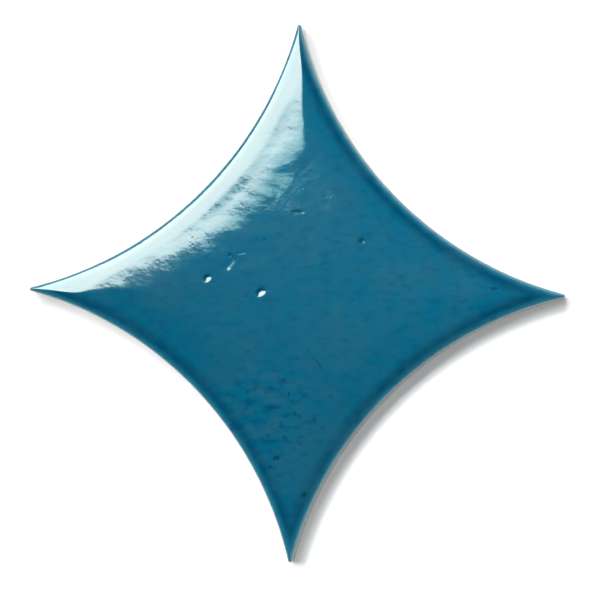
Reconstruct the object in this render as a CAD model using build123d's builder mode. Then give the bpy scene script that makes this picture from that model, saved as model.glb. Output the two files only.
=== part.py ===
from build123d import *
from math import ceil, cos, radians, sin, sqrt, tan
import os

# Kite-shaped porcelain tile: one pressed and fired plate with four long points, its four equal
# sides concave arcs. The glazed face is cushioned. It rises from a small rim radius over a rounded
# shoulder and a shallow crown to a flat middle, so the shoulders of neighbouring sides meet in a
# ridge along each point. The bare back has a plain land round its edge and, inside it, a shallow
# key field crossed by ribs, which holds the adhesive.
#
# Millimetres. The tile lies on its back. The land and the ribs are in the plane z = 0, +Z is up
# through the face, and the four points lie on the X and Y axes.

# Outline
tip_span = 150.0  # from a point to the opposite point, at the foot
side_radius = 102.0  # radius of each concave side
tip_radius = 0.75  # rounding of each point, seen from above
wall_draft = 1.5  # degrees by which the wall leans inwards from the foot to the rim

# Face
thickness = 9.0  # from the land of the back to the flat middle of the face
rim_radius = 1.4  # where the wall turns over into the face
shoulder_radius = 12.0  # the rounded shoulder inside the rim
crown_radius = 115.0  # the shallow rise from the shoulder to the flat middle
shoulder_slope = 25.0  # degrees from level where the rim meets the shoulder
crown_slope = 5.0  # degrees from level where the shoulder meets the crown

# Back
foot_bevel = 0.5  # round the bottom of the wall
land_width = 4.5  # the plain land round the key field
key_depth = 0.8  # depth of the key field
key_point_radius = 1.5  # rounding of the key field's own four points
rib_width = 2.5  # width of each rib
rib_pitch = 9.0  # from rib to rib

# The centre of each point's rounding. The centre of each side lies as far out in X as in Y.
tip_centre = tip_span / 2 - tip_radius
side_centre = (tip_centre + sqrt(2 * (side_radius + tip_radius) ** 2 - tip_centre**2)) / 2

# The cushion's extent inwards from the top of the wall, and upwards from it.
cushion_width = (
    crown_radius * sin(radians(crown_slope))
    + shoulder_radius * (sin(radians(shoulder_slope)) - sin(radians(crown_slope)))
    + rim_radius * (cos(radians(wall_draft)) - sin(radians(shoulder_slope)))
)
cushion_rise = (
    crown_radius * (1 - cos(radians(crown_slope)))
    + shoulder_radius * (cos(radians(crown_slope)) - cos(radians(shoulder_slope)))
    + rim_radius * (cos(radians(shoulder_slope)) - sin(radians(wall_draft)))
)
wall_height = thickness - cushion_rise
wall_inset = wall_height * tan(radians(wall_draft))
face_start = wall_inset + cushion_width

# An even number of ribs straddles the middle, so that none runs along the points on the X axis.
rib_count = 2 * ceil(tip_span / 2 / rib_pitch)

# How far each cutting body runs past the stock.
margin = 2.0


def star(inset, point_radius):
    """Return the tile's outline with its sides moved inwards by inset and its points rounded."""
    reach = side_radius + inset + point_radius
    point_centre = side_centre - sqrt(reach**2 - side_centre**2)
    share = point_radius / reach
    along = point_centre + (side_centre - point_centre) * share
    across = side_centre * share
    middle = side_centre - (side_radius + inset) / sqrt(2)
    with BuildLine() as quarter:
        ThreePointArc((along, -across), (point_centre + point_radius, 0), (along, across))
        ThreePointArc((along, across), (middle, middle), (across, along))
    with BuildSketch() as whole:
        with BuildLine():
            with PolarLocations(0, 4):
                add(quarter.line)
        make_face()
    return whole.sketch


# The section of what is taken off all round, with the foot at zero and the tile at +X: above the
# cushion of the face, and below the bevel of the foot.
with BuildSketch() as trimming:
    with BuildLine():
        crown = JernArc((face_start, thickness), (-1, 0), crown_radius, crown_slope)
        shoulder = JernArc(crown @ 1, crown % 1, shoulder_radius, shoulder_slope - crown_slope)
        rim = JernArc(shoulder @ 1, shoulder % 1, rim_radius, 90 - wall_draft - shoulder_slope)
        Polyline(
            rim @ 1,
            (-margin, wall_height),
            (-margin, thickness + margin),
            (face_start, thickness + margin),
            crown @ 0,
        )
    make_face()
    with BuildLine():
        Polyline(
            (foot_bevel + margin, -margin),
            (-margin, foot_bevel + margin),
            (-margin, -margin),
            close=True,
        )
    make_face()

# Along a side the section turns about the centre of the side's arc.
with BuildPart() as side_cutter:
    with BuildSketch(Plane.XZ):
        with Locations((side_radius, 0)):
            add(trimming.sketch)
    revolve(axis=Axis.Z)

# Across a point the section runs straight.
with BuildPart() as point_cutter:
    with BuildSketch(Plane.XZ):
        add(trimming.sketch)
    extrude(amount=tip_radius + margin, both=True)

with BuildPart() as tile:
    with BuildSketch():
        add(star(0, tip_radius))
    extrude(amount=thickness, taper=wall_draft)
    with PolarLocations(side_centre * sqrt(2), 4, start_angle=45):
        add(side_cutter.part, mode=Mode.SUBTRACT)
    with PolarLocations(tip_span / 2, 4):
        add(point_cutter.part, rotation=(0, 0, 180), mode=Mode.SUBTRACT)

    # The key field of the back, with its ribs left standing.
    with BuildSketch():
        add(star(land_width, key_point_radius))
        with GridLocations(0, rib_pitch, 1, rib_count):
            Rectangle(tip_span, rib_width, mode=Mode.SUBTRACT)
    extrude(amount=key_depth, mode=Mode.SUBTRACT)

tile.part.label = "tile"
os.makedirs("parts", exist_ok=True)
export_step(tile.part, "parts/tile.step")
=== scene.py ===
import logging
from dataclasses import dataclass, field, fields
from enum import Enum
from math import cos, pi, radians, sin, sqrt

import bpy
from mathutils import Matrix, Vector


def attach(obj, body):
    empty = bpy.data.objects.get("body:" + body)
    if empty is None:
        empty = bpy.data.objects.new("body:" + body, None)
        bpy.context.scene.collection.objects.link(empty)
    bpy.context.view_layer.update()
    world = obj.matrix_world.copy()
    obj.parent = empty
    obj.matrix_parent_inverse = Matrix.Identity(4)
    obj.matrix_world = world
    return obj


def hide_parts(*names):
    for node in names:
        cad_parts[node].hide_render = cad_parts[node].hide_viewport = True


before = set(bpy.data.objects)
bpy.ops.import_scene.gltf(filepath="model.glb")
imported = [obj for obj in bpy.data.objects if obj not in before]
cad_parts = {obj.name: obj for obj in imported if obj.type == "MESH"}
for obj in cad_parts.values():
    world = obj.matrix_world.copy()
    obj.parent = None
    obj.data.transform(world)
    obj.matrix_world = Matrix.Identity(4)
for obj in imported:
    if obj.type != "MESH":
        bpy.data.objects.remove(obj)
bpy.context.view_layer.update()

# A kite-shaped porcelain tile, a plate with four long points and four equal concave arc sides,
# lies face up on a pale floor under one big soft box. Its points lie on the X and Y axes.
# Lengths are in metres, and MM turns millimetres into them.
MM = 0.001

# Places nearer to each other than this count as one.
SLACK = 0.001 * MM

# The CAD piece that the dressed tile stands for, and the name of the dressed piece.
TILE_NODE = "tile"
TILE_PIECE = "tile_dressed"

# Attributes of the tile's mesh: how far inside the wall a point of the face lies, the direction
# straight out of the tile, the place on the foot's outline, and which faces are left bare.
RIM_DISTANCE = "rim_distance"
OUTWARD = "outward"
OUTLINE = "outline"
BARE = "bare"

WHITE = (1.0, 1.0, 1.0)

Socket = bpy.types.NodeSocket

log = logging.getLogger("kite_tile")


class Blend(Enum):
    """How a ramp runs between its stops."""

    STRAIGHT = "LINEAR"
    EASED = "EASE"


def put(name: str, data: bpy.types.ID) -> bpy.types.Object:
    """Put an object into the scene.

    Args:
        name: its name.
        data: its mesh, lamp or camera.

    Returns:
        The object.
    """
    thing = bpy.data.objects.new(name, data)
    bpy.context.scene.collection.objects.link(thing)
    return thing


# Trees of nodes

class Formula:
    """A number worked out by nodes at each point, written with ordinary arithmetic."""

    def __init__(self, tree: bpy.types.NodeTree, socket: Socket) -> None:
        """Keep the socket that gives the number and the tree it is worked out in."""
        self.tree = tree
        self.socket = socket

    def math(self, operation: str, *others: "Formula | float") -> "Formula":
        """Work out one step of arithmetic.

        Args:
            operation: the name of the Math node's operation.
            others: the second and third numbers of the operation, if it has them.

        Returns:
            The result.
        """
        node = self.tree.nodes.new("ShaderNodeMath")
        node.operation = operation
        for place, value in enumerate((self, *others)):
            if isinstance(value, Formula):
                self.tree.links.new(value.socket, node.inputs[place])
            else:
                node.inputs[place].default_value = value
        return Formula(self.tree, node.outputs[0])

    def __add__(self, other: "Formula | float") -> "Formula":
        """Return the sum."""
        return self.math("ADD", other)

    def __radd__(self, other: float) -> "Formula":
        """Return the sum."""
        return self.math("ADD", other)

    def __sub__(self, other: "Formula | float") -> "Formula":
        """Return the difference."""
        return self.math("SUBTRACT", other)

    def __rsub__(self, other: float) -> "Formula":
        """Return the difference, the plain number less this one."""
        return self.math("MULTIPLY_ADD", -1.0, other)

    def __mul__(self, other: "Formula | float") -> "Formula":
        """Return the product."""
        return self.math("MULTIPLY", other)

    def __truediv__(self, other: "Formula | float") -> "Formula":
        """Return the quotient."""
        return self.math("DIVIDE", other)

    def __neg__(self) -> "Formula":
        """Return the number with its sign turned."""
        return self.math("MULTIPLY", -1.0)

    def above(self, other: "Formula | float") -> "Formula":
        """Return 1 where the number is above the other, and 0 elsewhere."""
        return self.math("GREATER_THAN", other)

    def least(self, other: "Formula | float") -> "Formula":
        """Return the lower of the two."""
        return self.math("MINIMUM", other)

    def most(self, other: "Formula | float") -> "Formula":
        """Return the higher of the two."""
        return self.math("MAXIMUM", other)

    def within(self, low: "Formula | float", high: "Formula | float") -> "Formula":
        """Return the number held between a low and a high one."""
        return self.most(low).least(high)

    def root(self) -> "Formula":
        """Return the square root, or 0 below zero."""
        return self.most(0.0).math("SQRT")

    def sine(self) -> "Formula":
        """Return the sine of an angle in radians."""
        return self.math("SINE")

    def cosine(self) -> "Formula":
        """Return the cosine of an angle in radians."""
        return self.math("COSINE")


def pick(share: Formula, chosen: Formula | float, otherwise: Formula) -> Formula:
    """Return chosen where share is 1 and otherwise where it is 0."""
    return otherwise + (chosen - otherwise) * share


def length(across: Formula, along: Formula) -> Formula:
    """Return the length of the diagonal of two sides."""
    return (across * across + along * along).root()


def smooth_step(value: Formula, low: float, high: Formula | float) -> Formula:
    """Return a soft rise from 0 at low to 1 at high."""
    share = ((value - low) / (high - low)).within(0.0, 1.0)
    return share * share * (3.0 - share * 2.0)


class TreeWork:
    """A tree of nodes that is built step by step."""

    def __init__(self, tree: bpy.types.NodeTree) -> None:
        """Keep the tree that the nodes are added to."""
        self.tree = tree

    def node(self, kind: str, settings: dict | None = None, **inputs: object) -> bpy.types.Node:
        """Add a node.

        Args:
            kind: the node's type.
            settings: properties to set on it.
            inputs: values or outputs for its inputs, with _ for a space in their names. None
                leaves an input as it is.

        Returns:
            The node.
        """
        node = self.tree.nodes.new(kind)
        for title, value in (settings or {}).items():
            setattr(node, title, value)
        for title, value in inputs.items():
            if value is not None:
                self.feed(node.inputs[title.replace("_", " ")], value)
        return node

    def feed(self, socket: Socket, value: object) -> None:
        """Link an output to an input, or set the input's own value.

        Args:
            socket: the input.
            value: a formula or an output to link, or else a plain value. A colour has three parts.
        """
        if isinstance(value, Formula):
            self.tree.links.new(value.socket, socket)
        elif isinstance(value, Socket):
            self.tree.links.new(value, socket)
        elif socket.type == "RGBA":
            socket.default_value = (*value, 1.0)
        else:
            socket.default_value = value

    def formula(self, socket: Socket) -> Formula:
        """Return an output as a formula."""
        return Formula(self.tree, socket)

    def split(self, vector: Socket) -> tuple[Formula, Formula, Formula]:
        """Return the three parts of a vector."""
        parts = self.node("ShaderNodeSeparateXYZ", Vector=vector)
        return tuple(self.formula(output) for output in parts.outputs)


class ShapeTree(TreeWork):
    """A tree of Geometry Nodes with named sizes."""

    def __init__(self, name: str, sizes: dict[str, float]) -> None:
        """Start a tree that takes the named sizes.

        Args:
            name: the tree's name.
            sizes: each input's name and value.
        """
        super().__init__(bpy.data.node_groups.new(name, "GeometryNodeTree"))
        self.tree.is_modifier = True
        self.sizes = sizes
        self.identifiers = {}
        interface = self.tree.interface
        for title in sizes:
            socket = interface.new_socket(name=title, in_out="INPUT", socket_type="NodeSocketFloat")
            self.identifiers[title] = socket.identifier
        interface.new_socket(name="Shape", in_out="OUTPUT", socket_type="NodeSocketGeometry")
        self.entry = self.tree.nodes.new("NodeGroupInput")

    def size(self, title: str) -> Formula:
        """Return one of the named sizes."""
        return self.formula(self.entry.outputs[title])

    def position(self) -> tuple[Formula, Formula, Formula]:
        """Return the three coordinates of each point."""
        return self.split(self.node("GeometryNodeInputPosition").outputs[0])

    def vector(self, x: object, y: object, z: object) -> Socket:
        """Return a vector of three numbers."""
        return self.node("ShaderNodeCombineXYZ", X=x, Y=y, Z=z).outputs[0]

    def place(self, geometry: Socket, position: Socket, selection: Socket | None = None) -> Socket:
        """Move the selected points, or all, and return the geometry."""
        inputs = {"Geometry": geometry, "Position": position, "Selection": selection}
        return self.node("GeometryNodeSetPosition", **inputs).outputs[0]

    def store(
        self,
        geometry: Socket,
        name: str,
        value: object,
        kind: str = "FLOAT",
        domain: str = "POINT",
        selection: Socket | None = None,
    ) -> Socket:
        """Write an attribute onto the mesh.

        Args:
            geometry: the mesh.
            name: the attribute's name.
            value: what is written.
            kind: the attribute's data type.
            domain: what carries it, points or faces.
            selection: what is written to, or None for all.

        Returns:
            The mesh with the attribute.
        """
        settings = {"data_type": kind, "domain": domain}
        inputs = {"Geometry": geometry, "Name": name, "Value": value, "Selection": selection}
        return self.node("GeometryNodeStoreNamedAttribute", settings, **inputs).outputs[0]

    def stored(self, name: str, kind: str = "FLOAT") -> Socket:
        """Return an attribute that the mesh carries."""
        return self.node("GeometryNodeInputNamedAttribute", {"data_type": kind}, Name=name).outputs[0]

    def join(self, *parts: Socket) -> Socket:
        """Join several geometries.

        Args:
            parts: the geometries.

        Returns:
            All of them as one.
        """
        node = self.node("GeometryNodeJoinGeometry")
        for part in reversed(parts):
            self.feed(node.inputs[0], part)
        return node.outputs[0]

    def noise(self, position: Socket, grain: Formula, seed: Formula) -> Formula:
        """Return soft random values between 0 and 1.

        Args:
            position: where the noise is read.
            grain: how many lumps there are to a metre.
            seed: the fixed seed of the pattern.

        Returns:
            The noise.
        """
        settings = {"noise_dimensions": "4D"}
        node = self.node("ShaderNodeTexNoise", settings, Vector=position, W=seed, Scale=grain, Detail=1.0)
        return self.formula(node.outputs[0])

    def cut(self, body: Socket, cutter: Socket) -> Socket:
        """Take one closed mesh out of another.

        Args:
            body: what is cut.
            cutter: what is taken out of it.

        Returns:
            What is left.
        """
        node = self.node("GeometryNodeMeshBoolean", {"operation": "DIFFERENCE", "solver": "MANIFOLD"})
        self.feed(node.inputs["Mesh 1"], body)
        self.feed(node.inputs["Mesh 2"], cutter)
        return node.outputs["Mesh"]

    def finish(self, shape: Socket) -> None:
        """Hand the shape to the tree's output."""
        self.feed(self.tree.nodes.new("NodeGroupOutput").inputs["Shape"], shape)

    def evaluate(self, name: str) -> bpy.types.Mesh:
        """Run the tree.

        Args:
            name: the name of the mesh that comes out.

        Returns:
            The shape as a plain mesh, without the empty material slot that its grid starts with.
        """
        carrier = put(name + "_carrier", bpy.data.meshes.new(name + "_carrier"))
        modifier = carrier.modifiers.new(name, "NODES")
        modifier.node_group = self.tree
        for title, identifier in self.identifiers.items():
            modifier[identifier] = self.sizes[title]
        depsgraph = bpy.context.evaluated_depsgraph_get()
        evaluated = carrier.evaluated_get(depsgraph)
        mesh = bpy.data.meshes.new_from_object(
            evaluated, preserve_all_data_layers=True, depsgraph=depsgraph
        )
        mesh.name = name
        mesh.materials.pop(index=0)
        bpy.data.objects.remove(carrier)
        return mesh


@dataclass(frozen=True)
class Grain:
    """A soft random pattern on an object's own coordinates.

    lumps: how many lumps there are to a metre along each axis.
    detail: how many finer layers are added.
    place: shifts the pattern, so that two of them differ.
    reach: for blotches, the values of the pattern that become 0 and 1.
    """

    lumps: tuple
    detail: float
    place: float = 0.0
    reach: tuple = (0.0, 1.0)


class FinishTree(TreeWork):
    """A material's tree of nodes."""

    def __init__(self, name: str) -> None:
        """Start a material with an empty tree.

        Args:
            name: the material's name.
        """
        self.material = bpy.data.materials.new(name)
        self.material.use_nodes = True
        super().__init__(self.material.node_tree)
        self.tree.nodes.clear()
        self.output = self.tree.nodes.new("ShaderNodeOutputMaterial")

    def attribute(self, name: str) -> Formula:
        """Return a number that the mesh carries."""
        return self.formula(self.node("ShaderNodeAttribute", {"attribute_name": name}).outputs["Fac"])

    def here(self) -> Socket:
        """Return the object's own coordinates of each point."""
        return self.node("ShaderNodeTexCoord").outputs["Object"]

    def plan(self) -> tuple[Formula, Formula]:
        """Return the two level coordinates of each point."""
        x, y, _ = self.split(self.here())
        return x, y

    def noise(self, grain: Grain) -> Formula:
        """Return soft random values between 0 and 1.

        Args:
            grain: the pattern.

        Returns:
            The noise.
        """
        shift = (grain.place, grain.place, 0.0)
        mapping = self.node("ShaderNodeMapping", Vector=self.here(), Scale=grain.lumps, Location=shift)
        node = self.node("ShaderNodeTexNoise", Vector=mapping.outputs[0], Scale=1.0, Detail=grain.detail)
        return self.formula(node.outputs["Fac"])

    def blotches(self, grain: Grain) -> Formula:
        """Return soft-edged random blotches, 1 inside them and 0 outside."""
        return smooth_step(self.noise(grain), *grain.reach)

    def ramp(self, value: Formula, stops: list[tuple], blend: Blend = Blend.EASED) -> Socket:
        """Return a colour that follows a number.

        Args:
            value: the number, from 0 to 1.
            stops: the places of the colours, and the colours.
            blend: how the ramp runs between them.

        Returns:
            The colour.
        """
        node = self.node("ShaderNodeValToRGB", Fac=value)
        node.color_ramp.interpolation = blend.value
        elements = node.color_ramp.elements
        while len(elements) < len(stops):
            elements.new(1.0)
        for element, (place, colour) in zip(elements, stops):
            element.position = place
            element.color = (*colour, 1.0)
        return node.outputs[0]

    def mix(self, share: Formula, first: object, second: tuple) -> Socket:
        """Return a colour between two.

        Args:
            share: 0 for the first colour and 1 for the second.
            first: a colour, or the output that gives it.
            second: the other colour.

        Returns:
            The mixed colour.
        """
        # The node's inputs 6 and 7 and its output 2 are those for colours.
        node = self.node("ShaderNodeMix", {"data_type": "RGBA"})
        self.feed(node.inputs[0], share)
        self.feed(node.inputs[6], first)
        self.feed(node.inputs[7], second)
        return node.outputs[2]

    def bump(self, height: Formula, distance: float) -> Socket:
        """Return a normal that follows a height field, distance high where the field is 1."""
        return self.node("ShaderNodeBump", Height=height, Distance=distance, Strength=1.0).outputs[0]

    def surface(self, shader: Socket) -> bpy.types.Material:
        """Hand the shader to the material's output and return the material."""
        self.feed(self.output.inputs["Surface"], shader)
        return self.material


# Finishes

@dataclass(frozen=True)
class FleckAndPitShade:
    """A small dark fleck or scratch of the glaze, an ellipse on the face, or painted shade of the same
    shape on the upper-left side of a pit. Lengths in millimetres.

    x, y: the middle.
    half_length, half_width: half its length and width.
    turn: the direction of its length, in radians from the X axis.
    shade: how much darker the glaze is there, from 0 to 1.
    sink: how far the glaze sinks there.
    """

    x: float
    y: float
    half_length: float
    half_width: float
    turn: float = 0.0
    shade: float = 0.5
    sink: float = 0.0


@dataclass(frozen=True)
class Glaze:
    """The translucent teal glaze, thin and pale over the rim and deep where it pools inside it.

    Its colour is made brighter on the half towards the upper right, a painted light that stands for
    the light falling there, and it is mottled most in a patch above the lower point.
    """

    full: tuple = (0.0005, 0.089, 0.161)
    pooled: tuple = (0.0005, 0.054, 0.112)
    thin: tuple = (0.012, 0.135, 0.208)
    edge: tuple = (0.013, 0.162, 0.212)
    cloud: tuple = (0.012, 0.088, 0.140)
    # The colour of the painted light on the half of the face towards the upper right.
    light: tuple = (0.003, 0.150, 0.265)
    fleck: tuple = (0.0005, 0.026, 0.054)

    # How far inside the wall the colours lie.
    edge_width: float = 0.225 * MM
    thin_width: float = 0.9 * MM
    turn_width: float = 1.7 * MM
    pool_place: float = 2.2 * MM
    pool_end: float = 5.6 * MM

    # The gloss of the glaze and of the clear top of it, which thins out at the wall.
    base_roughness: float = 0.11
    base_ior: float = 1.60
    sheen_tint: tuple = (0.74, 1.0, 0.78)
    coat_roughness: float = 0.065
    coat_ior: float = 1.70
    coat_reach: tuple = (0.05 * MM, 0.6 * MM)
    coat_at_wall: float = 0.3

    # Fine relief
    swell: Grain = Grain((130.0, 170.0, 130.0), 1.0)
    swell_height: float = 0.065 * MM
    streaks: Grain = Grain((190.0, 310.0, 190.0), 2.0, 0.3)
    streak_height: float = 0.012 * MM
    crinkle: Grain = Grain((780.0, 860.0, 780.0), 2.0, 0.8)
    crinkle_height: float = 0.013 * MM

    # Clouds, with their shares all over and what the mottled patch adds to them. The patch is
    # whole within patch_core of its radius.
    broad_clouds: Grain = Grain((70.0, 70.0, 70.0), 4.0, reach=(0.45, 0.72))
    broad_share: float = 0.55
    fine_clouds: Grain = Grain((270.0, 380.0, 270.0), 3.0, 0.2, (0.40, 0.74))
    fine_share: float = 0.36
    fine_in_patch: float = 0.52
    dark_clouds: Grain = Grain((330.0, 560.0, 330.0), 2.0, 0.6, (0.44, 0.76))
    dark_share: float = 0.44
    dark_in_patch: float = 0.36
    patch_place: tuple = (-7.0 * MM, -33.0 * MM)
    patch_radius: float = 17.0 * MM
    patch_core: float = 0.35

    # The painted light, which brightens the half towards the upper right: its bearing, where it starts
    # and is whole, and where it starts at the rim, as a share of pool_end.
    painted_light_bearing: float = radians(60.0)
    painted_light_reach: tuple = (-28.0 * MM, 26.0 * MM)
    painted_light_start: float = 0.4
    painted_light_share: float = 0.26

    # Flecks, three of them painted shade on the upper-left sides of pits, and how near to a fleck's
    # middle, from 0 at its edge, it is wholly dark.
    fleck_and_pit_shade_share: float = 0.65
    fleck_core: float = 0.7
    flecks: tuple = (
        # Deep glaze pooled in this pinhole, and painted shade on its upper-left side, away from the
        # light.
        FleckAndPitShade(-24.45, 3.85, 1.15, 0.85, 0.6, 1.0),
        # Deep glaze pooled in this pinhole, and painted shade on its upper-left side, away from the
        # light.
        FleckAndPitShade(-9.4, 0.15, 1.30, 0.95, 0.6, 1.0),
        FleckAndPitShade(0.4, 22.5, 2.20, 0.38, 0.0, 0.85),
        # Painted shade on the upper-left side of the small pit at (-18.0, 9.9).
        FleckAndPitShade(-18.15, 10.15, 0.60, 0.45, 0.8, 0.7),
        FleckAndPitShade(18.6, 14.5, 1.30, 0.95, 0.2, 0.95, 0.015),
        FleckAndPitShade(55.4, 1.65, 1.25, 0.60, 0.0, 0.95),
        FleckAndPitShade(-4.1, -46.1, 1.20, 0.95, 0.3, 0.95, 0.012),
        FleckAndPitShade(-5.7, -48.5, 0.80, 0.45, 0.0, 0.9, 0.006),
        FleckAndPitShade(3.7, -55.9, 1.00, 0.75, 0.8, 0.9),
        FleckAndPitShade(-5.7, 21.8, 0.55, 0.40, 0.0, 0.5, 0.006),
        FleckAndPitShade(-8.4, 14.6, 0.65, 0.50, 0.0, 0.8),
        FleckAndPitShade(12.1, 14.0, 1.00, 0.80, 0.5, 0.45, 0.006),
        FleckAndPitShade(7.5, 7.6, 1.10, 0.55, 0.1, 0.35),
        FleckAndPitShade(11.0, 11.5, 0.80, 0.60, 0.9, 0.30),
        FleckAndPitShade(16.2, -1.6, 0.55, 0.45, 0.0, 0.4),
        FleckAndPitShade(-13.6, -1.3, 0.95, 0.50, 0.0, 0.55),
        FleckAndPitShade(-28.6, 14.7, 0.50, 0.50, 0.0, 0.9, 0.010),
        FleckAndPitShade(-28.5, 12.7, 0.45, 0.45, 0.0, 0.8, 0.010),
        FleckAndPitShade(-45.6, -1.7, 0.50, 0.40, 0.0, 0.5),
        FleckAndPitShade(4.5, -16.6, 1.00, 0.35, -0.95, 0.45),
        FleckAndPitShade(6.8, -19.2, 2.50, 0.34, -0.84, 0.60, 0.004),
        FleckAndPitShade(7.9, -20.4, 0.65, 0.45, 0.0, 0.65),
        FleckAndPitShade(1.4, -18.3, 0.40, 0.65, 0.0, 0.45),
        FleckAndPitShade(-2.3, -24.5, 0.60, 0.55, 0.0, 0.8),
        FleckAndPitShade(-12.4, -27.9, 0.50, 0.50, 0.0, 0.75),
        FleckAndPitShade(-0.9, -28.3, 0.40, 0.80, 0.0, 0.8),
        FleckAndPitShade(0.9, -33.6, 0.55, 0.90, 0.0, 0.75),
        FleckAndPitShade(6.4, -35.0, 0.70, 0.50, 0.0, 0.75),
        FleckAndPitShade(8.6, -37.4, 0.50, 0.60, 0.0, 0.5),
        FleckAndPitShade(-5.2, -31.9, 2.60, 0.85, 0.05, 0.60),
        FleckAndPitShade(-2.7, -36.8, 0.75, 1.50, 0.1, 0.50),
        FleckAndPitShade(-6.5, -39.8, 0.90, 0.60, 0.2, 0.50),
        FleckAndPitShade(-1.9, -40.3, 1.00, 0.60, -0.4, 0.60),
        FleckAndPitShade(40.8, -14.9, 0.45, 0.45, 0.0, 0.5),
    )

    def fleck_and_pit_shade_fields(self, tree: FinishTree) -> tuple[Formula, Formula]:
        """Work out the flecks and the painted shade of the pits.

        Returns:
            How dark the flecks and the painted pit shade are at each point, and how far the glaze is
        sunk, in millimetres.
        """
        x, y = tree.plan()
        shade = x * 0.0
        sunk = x * 0.0
        for fleck in self.flecks:
            across, along = x - fleck.x * MM, y - fleck.y * MM
            u = (across * cos(fleck.turn) + along * sin(fleck.turn)) / (fleck.half_length * MM)
            v = (along * cos(fleck.turn) - across * sin(fleck.turn)) / (fleck.half_width * MM)
            near = (1.0 - u * u - v * v).most(0.0)
            shade = shade.most(smooth_step(near, 0.0, self.fleck_core) * fleck.shade)
            if fleck.sink:
                sunk = sunk + near * near * fleck.sink
        return shade, sunk

    def colour(self, tree: FinishTree, shade: Formula) -> Socket:
        """Work out the glaze's colour.

        Args:
            tree: the material's tree.
            shade: how dark the flecks and the painted pit shade are at each point.

        Returns:
            The colour, by the depth of the glaze, its clouds, the painted light on its upper right half,
        its flecks and the painted shade in three of its pits.
        """
        distance = tree.attribute(RIM_DISTANCE) / self.pool_end
        colours = (
            (0.0, self.edge),
            (self.edge_width, self.thin),
            (self.thin_width, self.thin),
            (self.turn_width, self.full),
            (self.pool_place, self.pooled),
            (self.pool_end, self.full),
        )
        stops = [(place / self.pool_end, colour) for place, colour in colours]
        colour = tree.ramp(distance.within(0.0, 1.0), stops)
        x, y = tree.plan()
        off = length(x - self.patch_place[0], y - self.patch_place[1]) / self.patch_radius
        patch = 1.0 - smooth_step(off, self.patch_core, 1.0)
        colour = tree.mix(tree.blotches(self.broad_clouds) * self.broad_share, colour, self.cloud)
        # Painted light: the face is brightened towards the upper right, away from the rim, standing for
        # light that falls more there.
        toward_painted_light = x * cos(self.painted_light_bearing) + y * sin(self.painted_light_bearing)
        lighter = smooth_step(toward_painted_light, *self.painted_light_reach)
        lighter = lighter * smooth_step(distance, self.painted_light_start, 1.0)
        colour = tree.mix(lighter * self.painted_light_share, colour, self.light)
        fine = tree.blotches(self.fine_clouds) * (patch * self.fine_in_patch + self.fine_share)
        colour = tree.mix(fine, colour, self.cloud)
        dark = tree.blotches(self.dark_clouds) * (patch * self.dark_in_patch + self.dark_share)
        colour = tree.mix(dark, colour, self.pooled)
        # The flecks, and the painted shade in three of the pits, darken the glaze.
        return tree.mix(shade * self.fleck_and_pit_shade_share, colour, self.fleck)

    def material(self) -> bpy.types.Material:
        """Build the glaze.

        Returns:
            The material.
        """
        tree = FinishTree("teal_glaze")
        shade, sunk = self.fleck_and_pit_shade_fields(tree)
        height = tree.noise(self.swell) * (self.swell_height / MM)
        height = height + tree.noise(self.streaks) * (self.streak_height / MM)
        height = height + tree.noise(self.crinkle) * (self.crinkle_height / MM) - sunk
        normal = tree.bump(height, MM)
        coat = smooth_step(tree.attribute(RIM_DISTANCE), *self.coat_reach)
        shader = tree.node(
            "ShaderNodeBsdfPrincipled",
            Base_Color=self.colour(tree, shade),
            Roughness=self.base_roughness,
            IOR=self.base_ior,
            Specular_Tint=self.sheen_tint,
            Coat_Weight=coat * (1.0 - self.coat_at_wall) + self.coat_at_wall,
            Coat_Roughness=self.coat_roughness,
            Coat_IOR=self.coat_ior,
            Coat_Normal=normal,
            Normal=normal,
        )
        return tree.surface(shader.outputs[0])


@dataclass(frozen=True)
class BarePorcelain:
    """The unglazed buff body of the foot and the back, matt and faintly speckled."""

    body: tuple = (0.58, 0.49, 0.41)
    pale: tuple = (0.68, 0.60, 0.52)
    speck: tuple = (0.30, 0.20, 0.14)
    roughness: float = 0.78
    clouds: Grain = Grain((110.0, 110.0, 110.0), 5.0, reach=(0.35, 0.65))
    specks: Grain = Grain((1500.0, 1500.0, 1500.0), 1.0, 0.7, (0.68, 0.74))
    speck_share: float = 0.6
    tooth: Grain = Grain((2600.0, 2600.0, 2600.0), 3.0)
    tooth_height: float = 0.05 * MM

    def material(self) -> bpy.types.Material:
        """Build the bare body.

        Returns:
            The material.
        """
        tree = FinishTree("buff_porcelain")
        colour = tree.mix(tree.blotches(self.clouds), self.body, self.pale)
        colour = tree.mix(tree.blotches(self.specks) * self.speck_share, colour, self.speck)
        shader = tree.node(
            "ShaderNodeBsdfPrincipled",
            Base_Color=colour,
            Roughness=self.roughness,
            Normal=tree.bump(tree.noise(self.tooth), self.tooth_height),
        )
        return tree.surface(shader.outputs[0])


# The tile

@dataclass(frozen=True)
class Pit:
    """A pinhole or dent of the glaze. Lengths in millimetres.

    x, y: the middle.
    radius: half its width.
    depth: how deep it is.
    run_x, run_y: from the middle of a long one to the middle of its end.
    """

    x: float
    y: float
    radius: float
    depth: float
    run_x: float = 0.0
    run_y: float = 0.0


@dataclass(frozen=True)
class WallRing:
    """One ring of the wall, below the face.

    glazed: share of the way from the wall's top to the glaze's lower edge.
    bare: share of the way from there to the top of the foot bevel.
    proud: how far it stands out of the wall, in millimetres.
    """

    glazed: float
    bare: float = 0.0
    proud: float = 0.0


@dataclass(frozen=True)
class Bend:
    """Where the ridge of a point sways aside.

    start: where along the point, from the tile's middle, the bend starts and is whole.
    end: where it eases and has gone.
    depth: how far inside the wall it starts and is whole.
    """

    start: tuple
    end: tuple
    depth: tuple


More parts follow.
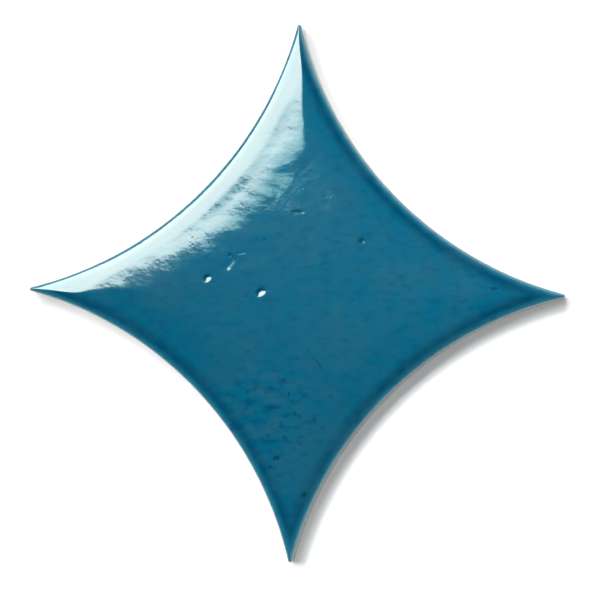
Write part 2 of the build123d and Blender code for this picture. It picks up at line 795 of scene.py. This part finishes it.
@dataclass
class KiteTile:
    """The pressed and fired tile: cushioned glazed face, bare wall foot and ribbed back."""

    # The outline, the section and the back, as in the CAD piece.
    span: float = 150.0 * MM
    side_radius: float = 102.0 * MM
    tip_radius: float = 0.75 * MM
    thickness: float = 9.0 * MM
    rim_radius: float = 1.4 * MM
    shoulder_radius: float = 12.0 * MM
    crown_radius: float = 115.0 * MM
    shoulder_slope: float = radians(25.0)
    crown_slope: float = radians(5.0)
    wall_draft: float = radians(1.5)
    foot_bevel: float = 0.5 * MM
    land_width: float = 4.5 * MM
    key_depth: float = 0.8 * MM
    key_point_radius: float = 1.5 * MM
    rib_width: float = 2.5 * MM
    rib_pitch: float = 9.0 * MM

    # What hand and fire leave: soft and swaying ridges, worn points, and waves of the glaze, which
    # start and are whole at wave_reach from the wall.
    ridge_softness: float = 2.4 * MM
    ridge_sway: float = 2.4 * MM
    tip_sway: float = 1.1 * MM
    point_wear: float = 0.25
    point_wear_length: float = 11.0 * MM
    wave_height: float = 0.15 * MM
    wave_grain: float = 48.0
    wave_stretch: float = 1.6
    wave_seed: float = 7.0
    wave_reach: tuple = (0.4 * MM, 7.0 * MM)

    # The glaze's lower edge above the foot, and how it wavers.
    glaze_line: float = 0.90 * MM
    glaze_waver: float = 0.8 * MM
    glaze_grain: float = 90.0
    glaze_seed: float = 10.0

    # The mesh: cells along each side of the face, points along a quarter of the key field's
    # outline, and the angle from which an edge stays crisp.
    cells: int = 280
    quarter_points: int = 64
    crisp_angle: float = radians(32.0)

    glaze: Glaze = field(default_factory=Glaze)
    body: BarePorcelain = field(default_factory=BarePorcelain)
    rings: tuple = (
        WallRing(0.35, proud=-0.02),
        WallRing(0.65, proud=-0.01),
        WallRing(0.85, proud=0.015),
        WallRing(0.95, proud=0.015),
        WallRing(1.0, proud=-0.02),
        WallRing(1.0, 0.04, -0.05),
        WallRing(1.0, 1.0, -0.03),
    )
    pits: tuple = (
        Pit(-24.3, 3.75, 0.98, 0.26, 0.24, 0.22),
        Pit(-9.3, 0.05, 1.10, 0.29, 0.45, 0.30),
        Pit(0.9, 22.2, 0.80, 0.034, 1.1, 0.1),
        Pit(-17.9, 7.9, 1.15, 0.076, 0.7, 1.0),
        Pit(-18.0, 9.9, 0.72, 0.100),
        Pit(-14.7, 10.8, 0.65, 0.022, 0.8, 0.15),
        Pit(-4.6, 30.8, 3.20, 0.035, 1.2, 1.8),
        Pit(18.7, 14.4, 1.15, 0.029),
        Pit(-4.0, -46.2, 1.10, 0.092),
        Pit(-5.6, -48.6, 0.65, 0.060),
    )

    # The power that rounds a pit's bottom and feathers out its edge.
    PIT_POWER = 1.5

    # Bearings nearer to each other than this, in quarter turns, count as one.
    TURN_SLACK = 0.001

    def sizes(self) -> dict[str, float]:
        """List the numbers that the tree of the shape takes.

        Returns:
            Each number among the fields, by the field's name written as a title.
        """
        numbers = {entry.name: getattr(self, entry.name) for entry in fields(self)}
        return {
            name.replace("_", " ").title(): value
            for name, value in numbers.items()
            if isinstance(value, float)
        }

    def build(self) -> bpy.types.Object:
        """Build the tile and dress it.

        Returns:
            The finished piece.
        """
        shape = ShapeTree("kite_tile_shape", self.sizes())
        outline = TileOutline(shape)
        face = self.face(shape, outline)
        plate = self.wall(shape, outline, face)
        keyed = self.key(shape, outline, plate)
        self.dress(shape, keyed)
        return put(TILE_PIECE, shape.evaluate(TILE_PIECE))

    def face(self, shape: ShapeTree, outline: "TileOutline") -> Socket:
        """Lay a square grid into the outline and raise it to the cushioned face.

        Args:
            shape: the tree.
            outline: the outline's formulas.

        Returns:
            The face, with the outline and the outward direction stored at its points.
        """
        size = shape.size
        lines = self.cells + 1
        grid = shape.node(
            "GeometryNodeMeshGrid", Size_X=1.0, Size_Y=1.0, Vertices_X=lines, Vertices_Y=lines
        )
        x, y, _ = shape.position()
        lay = outline.patch(outline.eased(x + 0.5), outline.eased(y + 0.5), outline.wall_inset)
        flat = shape.place(grid.outputs["Mesh"], shape.vector(*lay, 0.0))
        x, y, _ = shape.position()
        out_x, out_y = outline.outward(x, y)
        flat = shape.store(flat, OUTWARD, shape.vector(out_x, out_y, 0.0), "FLOAT_VECTOR")
        foot = shape.vector(x + out_x * outline.wall_inset, y + out_y * outline.wall_inset, 0.0)
        flat = shape.store(flat, OUTLINE, foot, "FLOAT_VECTOR")
        distance = outline.distance(x, y)
        flat = shape.store(flat, RIM_DISTANCE, distance)
        stretched = shape.vector(x, y * size("Wave Stretch"), 0.0)
        wave = shape.noise(stretched, size("Wave Grain"), size("Wave Seed"))
        wave = size("Wave Height") * wave * smooth_step(distance, *self.wave_reach)
        height = outline.height(distance) - wave - self.dent(x, y)
        return shape.place(flat, shape.vector(x, y, height))

    def dent(self, x: Formula, y: Formula) -> Formula:
        """Work out how deep the pits are.

        Args:
            x: the point's place across.
            y: the point's place along.

        Returns:
            The depth at each point, 0 outside the pits.
        """
        depth = x * 0.0
        for pit in self.pits:
            off_x, off_y = x - pit.x * MM, y - pit.y * MM
            if pit.run_x or pit.run_y:
                run_x, run_y = pit.run_x * MM, pit.run_y * MM
                slid = (off_x * run_x + off_y * run_y) / (run_x**2 + run_y**2)
                slid = slid.within(-1.0, 1.0)
                off_x, off_y = off_x - slid * run_x, off_y - slid * run_y
            share = length(off_x, off_y) / (pit.radius * MM)
            nearness = (1.0 - share * share).most(0.0)
            depth = depth.most(nearness.math("POWER", self.PIT_POWER) * (pit.depth * MM))
        return depth

    def wall(self, shape: ShapeTree, outline: "TileOutline", face: Socket) -> Socket:
        """Run the wall down from the face's edge, ring by ring, and close the back.

        Args:
            shape: the tree.
            outline: the outline's formulas.
            face: the face, open below.

        Returns:
            The closed plate with a plain back.
        """
        # The open edge of the face is made of the edges that have one face.
        open_edge = shape.node("FunctionNodeCompare", {"data_type": "INT", "operation": "EQUAL"})
        shape.feed(open_edge.inputs[2], shape.node("GeometryNodeInputMeshEdgeNeighbors").outputs[0])
        shape.feed(open_edge.inputs[3], 1)
        top = open_edge.outputs[0]

        # Each ring's height, its distance inside the foot's outline, and whether it is bare. The
        # last ring lies on the floor, inside the bevel.
        foot_x, foot_y, _ = shape.split(shape.stored(OUTLINE, "FLOAT_VECTOR"))
        out_x, out_y, _ = shape.split(shape.stored(OUTWARD, "FLOAT_VECTOR"))
        foot = shape.vector(foot_x, foot_y, 0.0)
        waver = shape.noise(foot, shape.size("Glaze Grain"), shape.size("Glaze Seed"))
        line = shape.size("Glaze Line") + shape.size("Glaze Waver") * (waver - 0.5)
        bevel = shape.size("Foot Bevel")
        levels = []
        for ring in self.rings:
            level = outline.wall_top + (line - outline.wall_top) * ring.glazed
            level = level + (bevel - line) * ring.bare
            levels.append((level, level * outline.draft - ring.proud * MM, ring.bare > 0.0))
        levels.append((bevel * 0.0, bevel, True))

        geometry = face
        for level, inset, bare in levels:
            extrude = shape.node(
                "GeometryNodeExtrudeMesh",
                {"mode": "EDGES"},
                Mesh=geometry,
                Selection=top,
                Offset_Scale=0.0,
            )
            top = extrude.outputs["Top"]
            position = shape.vector(foot_x - out_x * inset, foot_y - out_y * inset, level)
            geometry = shape.place(extrude.outputs["Mesh"], position, top)
            if bare:
                side = extrude.outputs["Side"]
                geometry = shape.store(geometry, BARE, 1.0, domain="FACE", selection=side)
        loop = shape.node("GeometryNodeMeshToCurve", Mesh=geometry, Selection=top)
        fill = shape.node("GeometryNodeFillCurve", {"mode": "NGONS"}, Curve=loop.outputs[0])
        back = shape.node("GeometryNodeFlipFaces", Mesh=fill.outputs[0]).outputs[0]
        both = shape.join(geometry, shape.store(back, BARE, 1.0, domain="FACE"))
        return shape.node("GeometryNodeMergeByDistance", Geometry=both, Distance=SLACK).outputs[0]

    def key(self, shape: ShapeTree, outline: "TileOutline", plate: Socket) -> Socket:
        """Sink the key field into the back and leave its ribs standing.

        Args:
            shape: the tree.
            outline: the outline's formulas.
            plate: the closed plate.

        Returns:
            The plate with its keyed back.
        """
        block = shape.node(
            "GeometryNodeMeshCylinder",
            {"fill_type": "NGON"},
            Vertices=4 * self.quarter_points,
            Radius=1.0,
            Depth=1.0,
        )

        # The cylinder's rim is bent to the field's outline, a quarter of its points to each quarter.
        # Bearings count in quarter turns, from 2 to 6.
        x, y, z = shape.position()
        turn = y.math("ARCTAN2", x) / (pi / 2) + 4.0
        quarter = (turn + self.TURN_SLACK).math("FLOOR")
        share = (turn - quarter).within(0.0, 1.0)

        inset = shape.size("Land Width")
        point_radius = shape.size("Key Point Radius")
        side = outline.side_radius + inset
        reach = side + point_radius
        centre = outline.side_centre
        point_centre = centre - (reach * reach - centre * centre).root()
        across, along = outline.quarter_point(share, side, point_radius, point_centre)
        angle = quarter * (pi / 2)
        field_x = across * angle.cosine() - along * angle.sine()
        field_y = across * angle.sine() + along * angle.cosine()
        depth = shape.size("Key Depth")
        level = pick(z.above(0.0), depth, -depth)
        block = shape.place(block.outputs["Mesh"], shape.vector(field_x, field_y, level))
        pockets = shape.cut(block, self.ribs(shape))
        return shape.cut(plate, shape.store(pockets, BARE, 1.0, domain="FACE"))

    def ribs(self, shape: ShapeTree) -> Socket:
        """Lay out the ribs.

        Args:
            shape: the tree.

        Returns:
            A row of bars, one for each rib, longer and taller than the key field.
        """
        # An even number of bars straddles the middle, and each is taller than the field is deep.
        half = int(self.span / 2 / self.rib_pitch) + 1
        pitch = shape.size("Rib Pitch")
        row = shape.node("GeometryNodeMeshLine", {"mode": "OFFSET"}, Count=2 * half)
        shape.feed(row.inputs["Start Location"], shape.vector(0.0, pitch * (0.5 - half), 0.0))
        shape.feed(row.inputs["Offset"], shape.vector(0.0, pitch, 0.0))
        size = shape.vector(shape.size("Span"), shape.size("Rib Width"), shape.size("Key Depth") * 4.0)
        bar = shape.node("GeometryNodeMeshCube", Size=size)
        bars = shape.node("GeometryNodeInstanceOnPoints", Points=row.outputs[0], Instance=bar.outputs[0])
        return shape.node("GeometryNodeRealizeInstances", Geometry=bars.outputs[0]).outputs[0]

    def dress(self, shape: ShapeTree, tile: Socket) -> None:
        """Shade the tile, give it its two finishes and end the tree.

        Args:
            shape: the tree.
            tile: the finished form.
        """
        angle = shape.formula(shape.node("GeometryNodeInputMeshEdgeAngle").outputs[0])
        soft = 1.0 - angle.above(shape.size("Crisp Angle"))
        smooth = shape.node("GeometryNodeSetShadeSmooth", {"domain": "FACE"}, Geometry=tile)
        shape.feed(smooth.inputs["Shade Smooth"], True)
        crisp = shape.node("GeometryNodeSetShadeSmooth", {"domain": "EDGE"}, Geometry=smooth.outputs[0])
        shape.feed(crisp.inputs["Shade Smooth"], soft)
        real = shape.node("GeometryNodeRealizeInstances", Geometry=crisp.outputs[0]).outputs[0]
        glazed = shape.node("GeometryNodeSetMaterial", Geometry=real, Material=self.glaze.material())
        bare = shape.formula(shape.stored(BARE)).above(0.5)
        finished = shape.node(
            "GeometryNodeSetMaterial",
            Geometry=glazed.outputs[0],
            Selection=bare,
            Material=self.body.material(),
        )
        shape.finish(finished.outputs[0])


class TileOutline:
    """The tile's plan and section as formulas of a tree."""

    # How much closer the grid's lines lie at the edge than in the middle, and over what share.
    EDGE_EASE = 0.85
    EDGE_SHARE = 0.02

    # The ridge of the upper point bends over most of its length, and both it and the ridge of the
    # left point bend near their tips.
    LONG_BEND = Bend((5.0 * MM, 25.0 * MM), (38.0 * MM, 74.0 * MM), (1.0 * MM, 9.0 * MM))
    TIP_BEND = Bend((50.0 * MM, 60.0 * MM), (64.0 * MM, 75.0 * MM), (0.1 * MM, 4.0 * MM))

    # How far inside the wall the ridges start to be soft, and how fast they soften from there.
    CRISP_DEPTH = 0.6 * MM
    SOFTENING = 0.4

    # Bearings nearer to each other than this, in radians, count as one.
    ANGLE_SLACK = 0.0001

    def __init__(self, shape: ShapeTree) -> None:
        """Work out the sizes that follow from the named ones.

        Args:
            shape: the tree.
        """
        self.shape = shape
        self.side_radius = shape.size("Side Radius")
        self.tip_radius = shape.size("Tip Radius")
        self.tip_centre = shape.size("Span") / 2.0 - self.tip_radius
        reach = self.side_radius + self.tip_radius
        diagonal = (reach * reach * 2.0 - self.tip_centre * self.tip_centre).root()
        self.side_centre = (self.tip_centre + diagonal) / 2.0
        draft = shape.size("Wall Draft")
        shoulder = shape.size("Shoulder Slope")
        crown = shape.size("Crown Slope")
        self.rim_end = shape.size("Rim Radius") * (draft.cosine() - shoulder.sine())
        shoulder_width = shape.size("Shoulder Radius") * (shoulder.sine() - crown.sine())
        self.shoulder_end = self.rim_end + shoulder_width
        self.crown_end = self.shoulder_end + shape.size("Crown Radius") * crown.sine()
        self.draft = draft.math("TANGENT")
        self.wall_top = self.height(self.rim_end * 0.0)
        self.wall_inset = self.wall_top * self.draft

    def arc_drop(
        self, distance: Formula, radius: Formula, slope: Formula, near: Formula, far: Formula
    ) -> Formula:
        """Return how far one arc of the section falls from its inner end to the given distance.

        Args:
            distance: distance inwards from the wall.
            radius: the arc's radius.
            slope: the arc's slope at its inner end.
            near: where the arc starts, at the wall's side.
            far: where it ends, at the middle's side.

        Returns:
            The fall, 0 inside the arc and the whole of it outside.
        """
        centre = far + radius * slope.sine()
        reach = centre - distance.within(near, far)
        return radius * slope.cosine() - (radius * radius - reach * reach).root()

    def height(self, distance: Formula) -> Formula:
        """Work out the height of the cushioned face.

        Args:
            distance: distance inwards from the wall.

        Returns:
            The height above the foot.
        """
        size = self.shape.size
        zero = self.rim_end * 0.0
        rim = self.arc_drop(distance, size("Rim Radius"), size("Shoulder Slope"), zero, self.rim_end)
        shoulder = self.arc_drop(
            distance, size("Shoulder Radius"), size("Crown Slope"), self.rim_end, self.shoulder_end
        )
        crown = self.arc_drop(distance, size("Crown Radius"), zero, self.shoulder_end, self.crown_end)
        return size("Thickness") - rim - shoulder - crown

    def eased(self, share: Formula) -> Formula:
        """Crowd the grid's lines towards the edge.

        Args:
            share: a place across the grid, from 0 to 1.

        Returns:
            The place to use instead.
        """
        to_edge = share.least(1.0 - share)
        width = self.EDGE_EASE * self.EDGE_SHARE
        falloff = (to_edge * (-1.0 / self.EDGE_SHARE)).math("EXPONENT")
        moved = (to_edge - (1.0 - falloff) * width) / (1.0 - 2.0 * width)
        return pick(share.above(0.5), 1.0 - moved, moved)

    def quarter_point(
        self, share: Formula, side: Formula, point: Formula, point_centre: Formula
    ) -> tuple[Formula, Formula]:
        """Return a point of a quarter of the outline, from the +X point to the +Y point.

        Args:
            share: how far along the quarter, from 0 to 1.
            side: the radius of the side.
            point: the radius of the points' rounding.
            point_centre: how far out the centre of that rounding lies.

        Returns:
            The point's two coordinates.
        """
        # The run goes round the point's arc and then back along the side's, whose centre sees the
        # tile's middle at five quarters of pi. The second half mirrors the first.
        centre = self.side_centre
        turn = centre.math("ARCTAN2", centre - point_centre)
        sweep = turn - pi / 4
        point_run = point * turn
        side_run = side * sweep * 2.0
        run = (point_run * 2.0 + side_run) * share.least(1.0 - share)
        angle = run / point
        tip_x = point_centre + point * angle.cosine()
        tip_y = point * angle.sine()
        bearing = pi * 5 / 4 + sweep - (run - point_run) / side
        side_x = centre + side * bearing.cosine()
        side_y = centre + side * bearing.sine()
        on_side = run.above(point_run)
        x = pick(on_side, side_x, tip_x)
        y = pick(on_side, side_y, tip_y)
        past_middle = share.above(0.5)
        return pick(past_middle, y, x), pick(past_middle, x, y)

    def patch(self, u: Formula, v: Formula, inset: Formula) -> tuple[Formula, Formula]:
        """Spread a square's inside over the outline, its corners at the four points.

        Args:
            u: place across the square, from 0 to 1.
            v: place along the square, from 0 to 1.
            inset: how far the outline is moved inwards.

        Returns:
            The two coordinates.
        """
        side = self.side_radius + inset
        point = self.tip_radius - inset
        near_x, near_y = self.quarter_point(u, side, point, self.tip_centre)
        left_x, left_y = self.quarter_point(v, side, point, self.tip_centre)
        tip = self.tip_centre + point
        x = (1.0 - v) * near_x - v * near_y + (1.0 - u) * left_x - u * left_y - tip * (1.0 - u - v)
        y = (1.0 - v) * near_y - v * near_x - (1.0 - u) * left_y + u * left_x - tip * (u - v)
        return x, y

    def folded(self, x: Formula, y: Formula) -> tuple[Formula, Formula]:
        """Return a point's two distances from the axes."""
        return x.math("ABSOLUTE"), y.math("ABSOLUTE")

    def to_sides(self, x: Formula, y: Formula) -> tuple[Formula, Formula, Formula]:
        """Work out how far a point lies inside the sides round it.

        Args:
            x: the point's place across.
            y: the point's place along.

        Returns:
            Its distances from the side of its own quarter and from that side's two neighbours.
        """
        a, b = self.folded(x, y)
        centre = self.side_centre
        side = self.side_radius + self.wall_inset
        own = length(a - centre, b - centre) - side
        before = length(a - centre, b + centre) - side
        after = length(a + centre, b - centre) - side
        return own, before, after

    def bend(self, along: Formula, nearest: Formula, reach: Bend) -> Formula:
        """Work out how strong one bend of a ridge is.

        Args:
            along: the place along the point, from the tile's middle.
            nearest: the distance from the nearest side.
            reach: where the bend starts and ends.

        Returns:
            The bend's share, 0 at the wall and along the other points.
        """
        whole = smooth_step(along, *reach.start) * (1.0 - smooth_step(along, *reach.end))
        return whole * smooth_step(nearest, *reach.depth)

    def sway(self, x: Formula, y: Formula, nearest: Formula) -> tuple[Formula, Formula]:
        """Move a point back from where the ridges of the +Y and -X points sway to.

        Args:
            x: the point's place across.
            y: the point's place along.
            nearest: its distance from the nearest side.

        Returns:
            The two coordinates at which the face has no sway.
        """
        tip_sway = self.shape.size("Tip Sway")
        aside = self.shape.size("Ridge Sway") * self.bend(y, nearest, self.LONG_BEND)
        aside = aside + tip_sway * self.bend(y, nearest, self.TIP_BEND)
        down = tip_sway * self.bend(-x, nearest, self.TIP_BEND)
        return x - aside, y + down

    def distance(self, x: Formula, y: Formula) -> Formula:
        """Work out how far inside the wall a point lies.

        Args:
            x: the point's place across.
            y: the point's place along.

        Returns:
            The distance, with the ridges along the points softened and their ends rounded down.
        """
        size = self.shape.size
        own, before, after = self.to_sides(x, y)
        nearest = own.least(before).least(after)
        own, before, after = self.to_sides(*self.sway(x, y, nearest))
        nearest = own.least(before).least(after)
        soft = ((nearest - self.CRISP_DEPTH) * self.SOFTENING).within(SLACK, size("Ridge Softness"))
        rounded = own.math("SMOOTH_MIN", before, soft).math("SMOOTH_MIN", after, soft)

        # Past the centre of a point's rounding, the distance is measured from that round.
        a, b = self.folded(x, y)
        along = a.most(b)
        across = a.least(b)
        past = (along - self.tip_centre).most(0.0)
        short = (self.tip_centre - along).most(0.0)
        cap = self.tip_radius - self.wall_inset - length(past, across) + short
        fresh = smooth_step(short, 0.0, size("Point Wear Length"))
        wear = size("Point Wear") * (1.0 - fresh)
        return (rounded.least(cap) * (1.0 - wear)).most(0.0)

    def outward(self, x: Formula, y: Formula) -> tuple[Formula, Formula]:
        """Work out the direction straight out of the nearest side or point.

        Args:
            x: the place across of a point on the outline.
            y: its place along.

        Returns:
            The direction's two parts.
        """
        a, b = self.folded(x, y)
        centre = self.side_centre
        side_x, side_y = centre - a, centre - b
        reach = length(side_x, side_y)
        along = a.most(b)
        across = a.least(b)
        turn = centre.math("ARCTAN2", centre - self.tip_centre)
        bearing = across.math("ARCTAN2", along - self.tip_centre)
        past = (along - self.tip_centre + SLACK).above(0.0)
        on_tip = (turn + self.ANGLE_SLACK).above(bearing) * past
        tip_along, tip_across = bearing.cosine(), bearing.sine()
        upright = b.above(a)
        tip_x = pick(upright, tip_across, tip_along)
        tip_y = pick(upright, tip_along, tip_across)
        out_x = pick(on_tip, tip_x, side_x / reach)
        out_y = pick(on_tip, tip_y, side_y / reach)
        return out_x * x.math("SIGN"), out_y * y.math("SIGN")


# The studio

@dataclass
class Studio:
    """Camera, floor and lights of the photograph: one big soft box at the upper left."""

    # The camera looks at the aim, leaning from upright towards +X and +Y by camera_lean.
    image_width: float = 600.0
    focal_pixels: float = 2856.51
    sensor_width: float = 36.0
    camera_distance: float = 0.800
    camera_lean: tuple = (radians(6.0), radians(-2.2))
    camera_roll: float = radians(1.004)
    camera_clip: tuple = (0.05, 50.0)
    aim: tuple = (0.862 * MM, -1.833 * MM)

    # The soft box as the glaze shows it. Its corners are shares of its height, from above the
    # tile's middle, and so are the places of its colours along its bearing.
    box_radiance: float = 8.2
    box_height: float = 2.5
    box_bearing: float = radians(124.6)
    box_fade_reach: float = 1.5
    box_corners: tuple = (
        (-0.112, 0.112),
        (-0.158, 0.103),
        (-0.235, 0.156),
        (-0.420, 0.160),
        (-1.420, 0.345),
        (-1.420, 0.665),
        (-0.665, 1.420),
        (-0.155, 1.420),
    )
    box_levels: tuple = (
        (0.130, (0.20, 0.32, 0.32)),
        (0.180, (0.23, 0.37, 0.36)),
        (0.200, (0.28, 0.40, 0.39)),
        (0.232, (0.42, 0.51, 0.50)),
        (0.263, (0.61, 0.65, 0.64)),
        (0.290, (0.70, 0.71, 0.70)),
        (0.320, (0.77, 0.77, 0.76)),
        (0.420, (0.79, 0.79, 0.79)),
        (0.767, (0.84, 0.84, 0.84)),
        (1.100, (1.0, 1.0, 1.0)),
    )

    # The lamps that light matt surfaces: one in the soft box's place and one overhead.
    key_bearing: float = radians(133.5)
    key_place: float = 0.57
    key_width: float = 2.60
    key_depth: float = 1.15
    key_power: float = 178.0
    fill_lamp_height: float = 1.6
    fill_lamp_size: float = 3.2
    fill_lamp_power: float = 10.5

    # The room's glow. It is pale near the horizon, most so towards fill_bearing, and fades out over
    # glow_heights. Overhead, some of the soft box's light shows on what hangs there. The heights
    # are sines of the angle above the horizon, and fill_reach holds cosines from the bearing.
    glow_heights: tuple = (0.30, 0.72)
    fill_bearing: float = radians(30.0)
    fill_reach: tuple = (-0.5, 0.65)
    fill_level: float = 1.15
    fill_floor: float = 0.06
    spill_lean: float = radians(12.0)
    spill_reach: float = radians(12.0)
    spill_level: float = 0.065
    overhead_level: float = 0.004

    floor_colour: tuple = (0.90, 0.90, 0.90)
    floor_lift: float = 0.095
    floor_half: float = 4.0

    def camera(self) -> bpy.types.Object:
        """Set the camera up as in the photograph.

        Returns:
            The camera.
        """
        toward = Vector((sin(self.camera_lean[0]), sin(self.camera_lean[1]), 0.0))
        toward.z = sqrt(1.0 - toward.x**2 - toward.y**2)
        level_right = Vector((0.0, 1.0, 0.0)).cross(toward).normalized()
        level_up = toward.cross(level_right)
        c, s = cos(self.camera_roll), sin(self.camera_roll)
        right = c * level_right + s * level_up
        up = c * level_up - s * level_right
        data = bpy.data.cameras.new("photo_camera")
        data.sensor_width = self.sensor_width
        data.lens = self.focal_pixels / self.image_width * self.sensor_width
        data.clip_start, data.clip_end = self.camera_clip
        camera = put("photo_camera", data)
        turned = Matrix((right, up, toward)).transposed().to_4x4()
        place = Vector((*self.aim, 0.0)) + toward * self.camera_distance
        camera.matrix_world = Matrix.Translation(place) @ turned
        bpy.context.scene.camera = camera
        return camera

    def floor(self) -> bpy.types.Object:
        """Lay a pale floor that keeps the tile's shadow and is white in the light.

        Returns:
            The floor.
        """
        half = self.floor_half
        corners = [(-half, -half, 0.0), (half, -half, 0.0), (half, half, 0.0), (-half, half, 0.0)]
        mesh = bpy.data.meshes.new("floor")
        mesh.from_pydata(corners, [], [(0, 1, 2, 3)])
        tree = FinishTree("pale_floor")
        diffuse = tree.node("ShaderNodeBsdfDiffuse", Color=self.floor_colour).outputs[0]
        lift = tree.node("ShaderNodeEmission", Color=WHITE, Strength=self.floor_lift).outputs[0]
        lifted = tree.node("ShaderNodeAddShader")
        tree.feed(lifted.inputs[0], diffuse)
        tree.feed(lifted.inputs[1], lift)
        path = tree.node("ShaderNodeLightPath")
        seen = tree.formula(path.outputs["Is Camera Ray"])
        seen = seen.most(tree.formula(path.outputs["Is Glossy Ray"]))
        mix = tree.node("ShaderNodeMixShader", Fac=seen)
        tree.feed(mix.inputs[1], diffuse)
        tree.feed(mix.inputs[2], lifted.outputs[0])
        mesh.materials.append(tree.surface(mix.outputs[0]))
        floor = put("floor", mesh)
        return floor

    def soft_box(self) -> bpy.types.Object:
        """Hang the soft box above the upper left.

        Returns:
            The light panel.
        """
        out = Vector((cos(self.box_bearing), sin(self.box_bearing), 0.0))
        corners = [Vector((x, y, 1.0)) * self.box_height for x, y in self.box_corners]
        mesh = bpy.data.meshes.new("soft_box")
        mesh.from_pydata(corners, [], [tuple(range(len(corners)))])
        tree = FinishTree("soft_box_light")
        run = tree.node("ShaderNodeVectorMath", {"operation": "DOT_PRODUCT"})
        tree.feed(run.inputs[0], tree.here())
        tree.feed(run.inputs[1], out / (self.box_height * self.box_fade_reach))
        stops = [(place / self.box_fade_reach, colour) for place, colour in self.box_levels]
        fade = tree.ramp(tree.formula(run.outputs["Value"]), stops, Blend.STRAIGHT)
        emission = tree.node("ShaderNodeEmission", Color=fade, Strength=self.box_radiance)
        mesh.materials.append(tree.surface(emission.outputs[0]))
        panel = put("soft_box", mesh)
        panel.visible_camera = False
        panel.visible_diffuse = False
        return panel

    def lamp(
        self, name: str, place: Vector, width: float, depth: float, power: float
    ) -> bpy.types.Object:
        """Hang a lamp that lights matt surfaces and doesn't show in the glaze.

        Args:
            name: the lamp's name.
            place: where it hangs, facing the tile.
            width: its level side.
            depth: its other side.
            power: its power in watts.

        Returns:
            The lamp.
        """
        data = bpy.data.lights.new(name, "AREA")
        data.shape = "RECTANGLE"
        data.size = width
        data.size_y = depth
        data.energy = power
        lamp = put(name, data)
        lamp.location = place
        lamp.rotation_euler = place.to_track_quat("Z", "Y").to_euler()
        lamp.visible_glossy = False
        return lamp

    def surroundings(self) -> None:
        """Make the room: white to the camera, dim overhead and pale all round near the horizon."""
        world = bpy.data.worlds.new("pale_room")
        world.use_nodes = True
        room = TreeWork(world.node_tree)
        room.tree.nodes.clear()
        x, y, up = room.split(room.node("ShaderNodeTexCoord").outputs["Generated"])
        low = 1.0 - smooth_step(up, *self.glow_heights)
        toward_fill = x * cos(self.fill_bearing) + y * sin(self.fill_bearing)
        fill = smooth_step(toward_fill, *self.fill_reach) * self.fill_level + self.fill_floor
        toward_box = x * cos(self.box_bearing) + y * sin(self.box_bearing)
        toward_spill = up * cos(self.spill_lean) + toward_box * sin(self.spill_lean)
        spill = smooth_step(toward_spill, cos(self.spill_reach), 1.0) * self.spill_level
        glow = low * fill + spill + self.overhead_level
        camera_ray = room.formula(room.node("ShaderNodeLightPath").outputs["Is Camera Ray"])
        strength = pick(camera_ray, 1.0, glow)
        background = room.node("ShaderNodeBackground", Color=WHITE, Strength=strength)
        room.node("ShaderNodeOutputWorld", Surface=background.outputs[0])
        bpy.context.scene.world = world

    def build(self) -> None:
        """Set up the camera, the floor, the light and the room."""
        self.camera()
        self.floor()
        self.soft_box()
        out = Vector((cos(self.key_bearing), sin(self.key_bearing), 0.0)) * self.key_place
        out.z = 1.0
        self.lamp("key_lamp", out * self.box_height, self.key_width, self.key_depth, self.key_power)
        over = Vector((0.0, 0.0, self.fill_lamp_height))
        self.lamp("fill_lamp", over, self.fill_lamp_size, self.fill_lamp_size, self.fill_lamp_power)
        self.surroundings()
        bpy.context.scene.view_settings.view_transform = "Standard"


def main() -> None:
    """Build the studio and the tile, and report the piece."""
    logging.basicConfig(level=logging.INFO, format="%(name)s: %(message)s")
    Studio().build()
    tile = KiteTile().build()
    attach(tile, "root")
    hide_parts(TILE_NODE)
    triangles = sum(len(polygon.vertices) - 2 for polygon in tile.data.polygons)
    log.info("%s: %d triangles, %d materials", tile.name, triangles, len(tile.data.materials))


if __name__ == "__main__":
    main()
